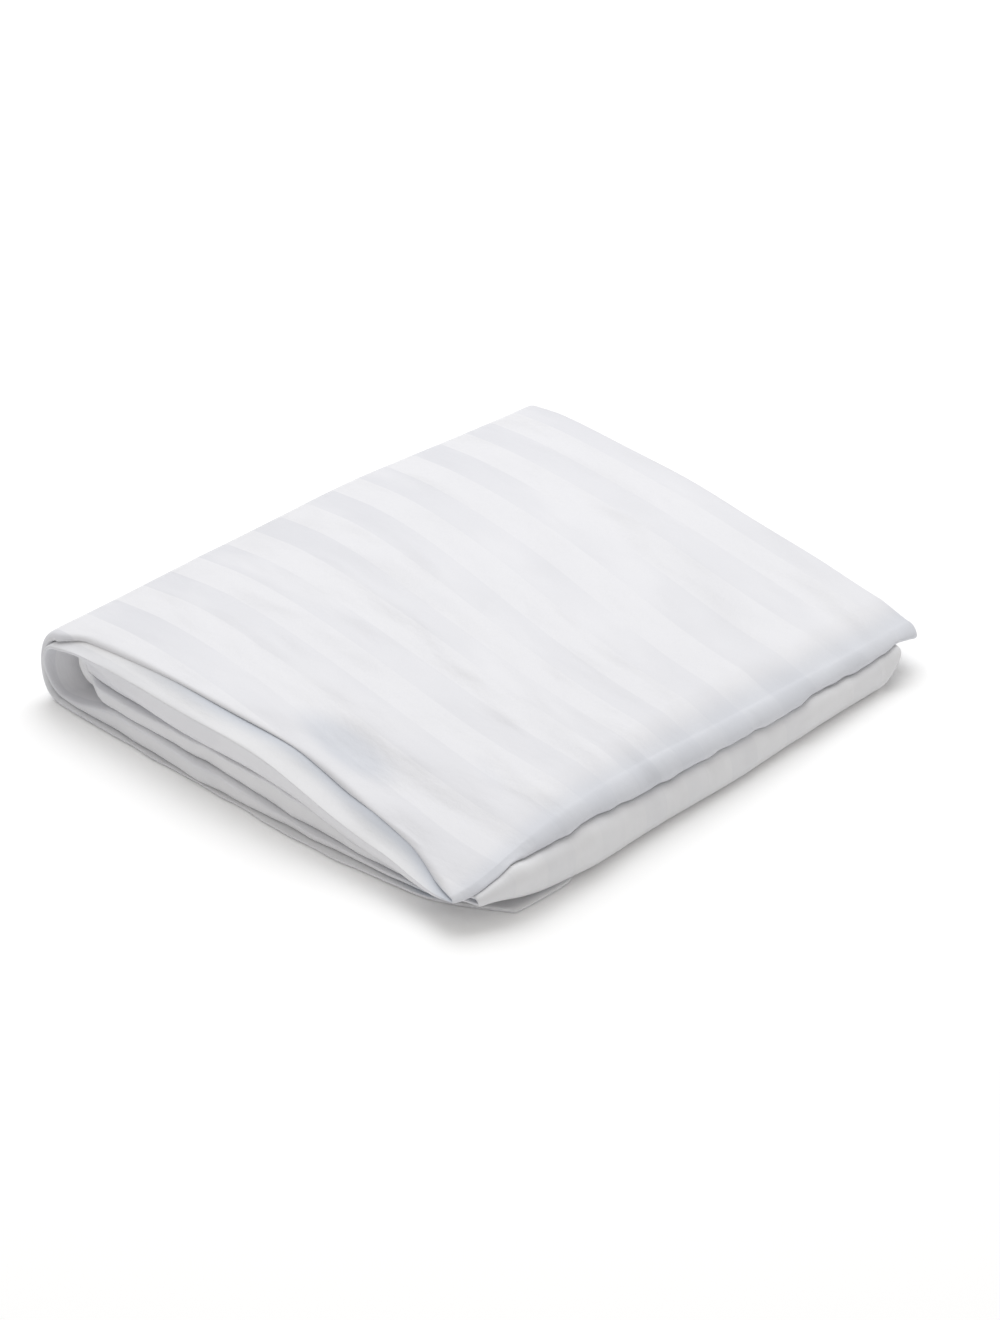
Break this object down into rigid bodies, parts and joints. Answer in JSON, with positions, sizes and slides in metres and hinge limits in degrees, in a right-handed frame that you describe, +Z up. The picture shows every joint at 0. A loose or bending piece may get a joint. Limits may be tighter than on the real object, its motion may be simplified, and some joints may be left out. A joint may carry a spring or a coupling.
{
  "type": "folded duvet cover",
  "caption": "White striped satin duvet cover folded into a flat bundle: a wrapped fold at one side, open folds at the other, layer edges showing between them.",
  "frame": {"origin": "middle of the bounding box, on the surface the bundle lies on", "axes": "+X from the wrapped fold to the end with the open folds, +Y from the side where the layers' edges show to the far side, +Z up"},
  "size_m": [0.3218, 0.364, 0.048],
  "materials": {
    "striped_satin_front": "white cotton with 20 mm satin stripes woven in, along X, soft sheen",
    "striped_satin_back": "white cotton with 20 mm satin stripes woven in, along X, soft sheen"
  },
  "bodies": {
    "root": {"front_panel": "striped_satin_front", "back_panel": "striped_satin_back"}
  },
  "joints": []
}
